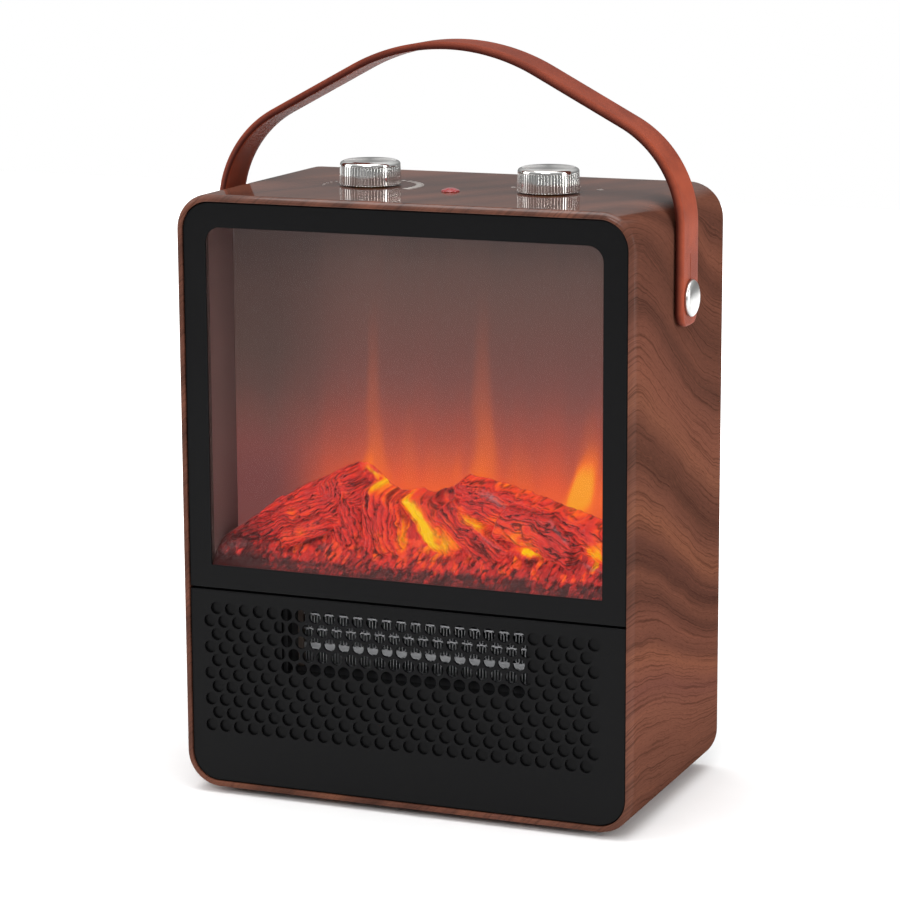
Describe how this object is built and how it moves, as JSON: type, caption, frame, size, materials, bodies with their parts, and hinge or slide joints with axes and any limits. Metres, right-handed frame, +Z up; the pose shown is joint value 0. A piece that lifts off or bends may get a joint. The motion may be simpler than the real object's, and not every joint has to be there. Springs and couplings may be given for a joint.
{
  "type": "ceramic space heater",
  "caption": "Tabletop ceramic heater: walnut-look sleeve, flame-effect window over a dimpled grille, turned knobs and a leather carry strap.",
  "frame": {"origin": "on the floor under the middle of the cabinet, in the plane of the feet's undersides", "axes": "+Z up, -Y out of the window and grille, +X to the right as seen from the front"},
  "size_m": [0.2568, 0.138, 0.379],
  "materials": {
    "walnut_film": "moulded plastic sleeve with a printed walnut film under satin lacquer",
    "black_panel": "fine satin black front panels",
    "black_plastic": "lightly textured black moulding",
    "clear_pane": "clear, lightly smoked",
    "chamber_liner": "matt charcoal",
    "flame_screen": "translucent diffuser",
    "ember_resin": "translucent moulded resin, painted bark and ash",
    "circuit_board": "solder resist",
    "led_resin": "clear epoxy",
    "zinc_steel": "zinc plated",
    "black_steel": "black oxide",
    "nylon": "natural moulded",
    "aluminium": "mill finish",
    "heater_plastic": "heat-proof moulding",
    "brass": "turned",
    "duct_plastic": "heat-proof moulding",
    "silicon_steel": "laminated",
    "copper_winding": "enamelled",
    "red_lens": "clear red",
    "satin_nickel": "satin",
    "black_rubber": "matt",
    "chrome": "bright, spun top",
    "tan_leather": "smooth tan",
    "reflector_foil": "bright foil"
  },
  "bodies": {
    "cabinet": {"outer_sleeve": "walnut_film", "front_frame": "black_plastic", "front_frame_screws": "zinc_steel", "window_frame": "black_panel", "window_pane": "clear_pane", "grille_panel": "black_panel", "rear_cover": "black_plastic", "rear_cover_screws": "black_steel", "flame_chamber": "chamber_liner", "flame_screen": "flame_screen", "log_bed": "ember_resin", "ember_board": "circuit_board", "ember_leds": "led_resin", "spindle_bracket_left": "zinc_steel", "spindle_bush": "nylon", "spindle_bracket_right": "zinc_steel", "spindle_motor": "zinc_steel", "flame_board": "circuit_board", "flame_leds": "led_resin", "partition_plate": "zinc_steel", "ptc_fins": "aluminium", "ptc_heating_bar": "aluminium", "ptc_plates": "aluminium", "heater_end_left": "heater_plastic", "heater_end_right": "heater_plastic", "ptc_terminals": "brass", "heater_duct": "duct_plastic", "thermal_cutout": "aluminium", "blower_housing": "duct_plastic", "blower_side_plate": "duct_plastic", "blower_bush": "black_rubber", "motor_stator": "silicon_steel", "motor_coil": "copper_winding", "motor_brackets": "zinc_steel", "motor_screws": "zinc_steel", "thermostat_body": "nylon", "thermostat_nut": "brass", "selector_body": "nylon", "selector_nut": "brass", "pilot_lens": "red_lens", "pilot_lamp": "led_resin", "strap_studs": "satin_nickel", "stud_nuts": "brass", "rubber_feet": "black_rubber", "foot_screws": "zinc_steel", "tip_switch_body": "nylon", "tip_switch_spring": "zinc_steel", "cord_gland": "black_rubber", "terminal_block": "nylon", "led_driver": "circuit_board"},
    "thermostat_dial": {"thermostat_knob": "chrome", "thermostat_spindle": "brass"},
    "selector_dial": {"selector_knob": "chrome", "selector_spindle": "brass"},
    "strap": {"carry_strap": "tan_leather"},
    "blower_wheel": {"blower_rotor": "duct_plastic", "blower_shaft": "silicon_steel", "motor_rotor": "silicon_steel"},
    "flame_reflector": {"flame_spindle": "reflector_foil"},
    "tip_plunger": {"tip_switch_plunger": "nylon"}
  },
  "joints": [
    {"name": "thermostat_turn", "type": "hinge", "parent": "cabinet", "child": "thermostat_dial", "pos_m": [-0.0435, -0.003, 0.306], "axis": [0, 0, 1], "range_deg": [-220, 0]},
    {"name": "selector_turn", "type": "hinge", "parent": "cabinet", "child": "selector_dial", "pos_m": [0.052, -0.003, 0.306], "axis": [0, 0, 1], "range_deg": [-105, 0]},
    {"name": "strap_swing", "type": "hinge", "parent": "cabinet", "child": "strap", "pos_m": [0, 0, 0.257], "axis": [1, 0, 0], "range_deg": [-26, 26]},
    {"name": "blower_spin", "type": "hinge", "parent": "cabinet", "child": "blower_wheel", "pos_m": [0, 0.014, 0.076], "axis": [1, 0, 0], "continuous": true},
    {"name": "flame_spin", "type": "hinge", "parent": "cabinet", "child": "flame_reflector", "pos_m": [0, -0.008, 0.1373], "axis": [1, 0, 0], "continuous": true},
    {"name": "tip_plunger_travel", "type": "slide", "parent": "cabinet", "child": "tip_plunger", "axis": [0, 0, 1], "range_m": [-0.003, 0], "stiffness_N_per_m": 60, "springref_m": -0.004, "deforming": ["tip_switch_spring"]}
  ]
}
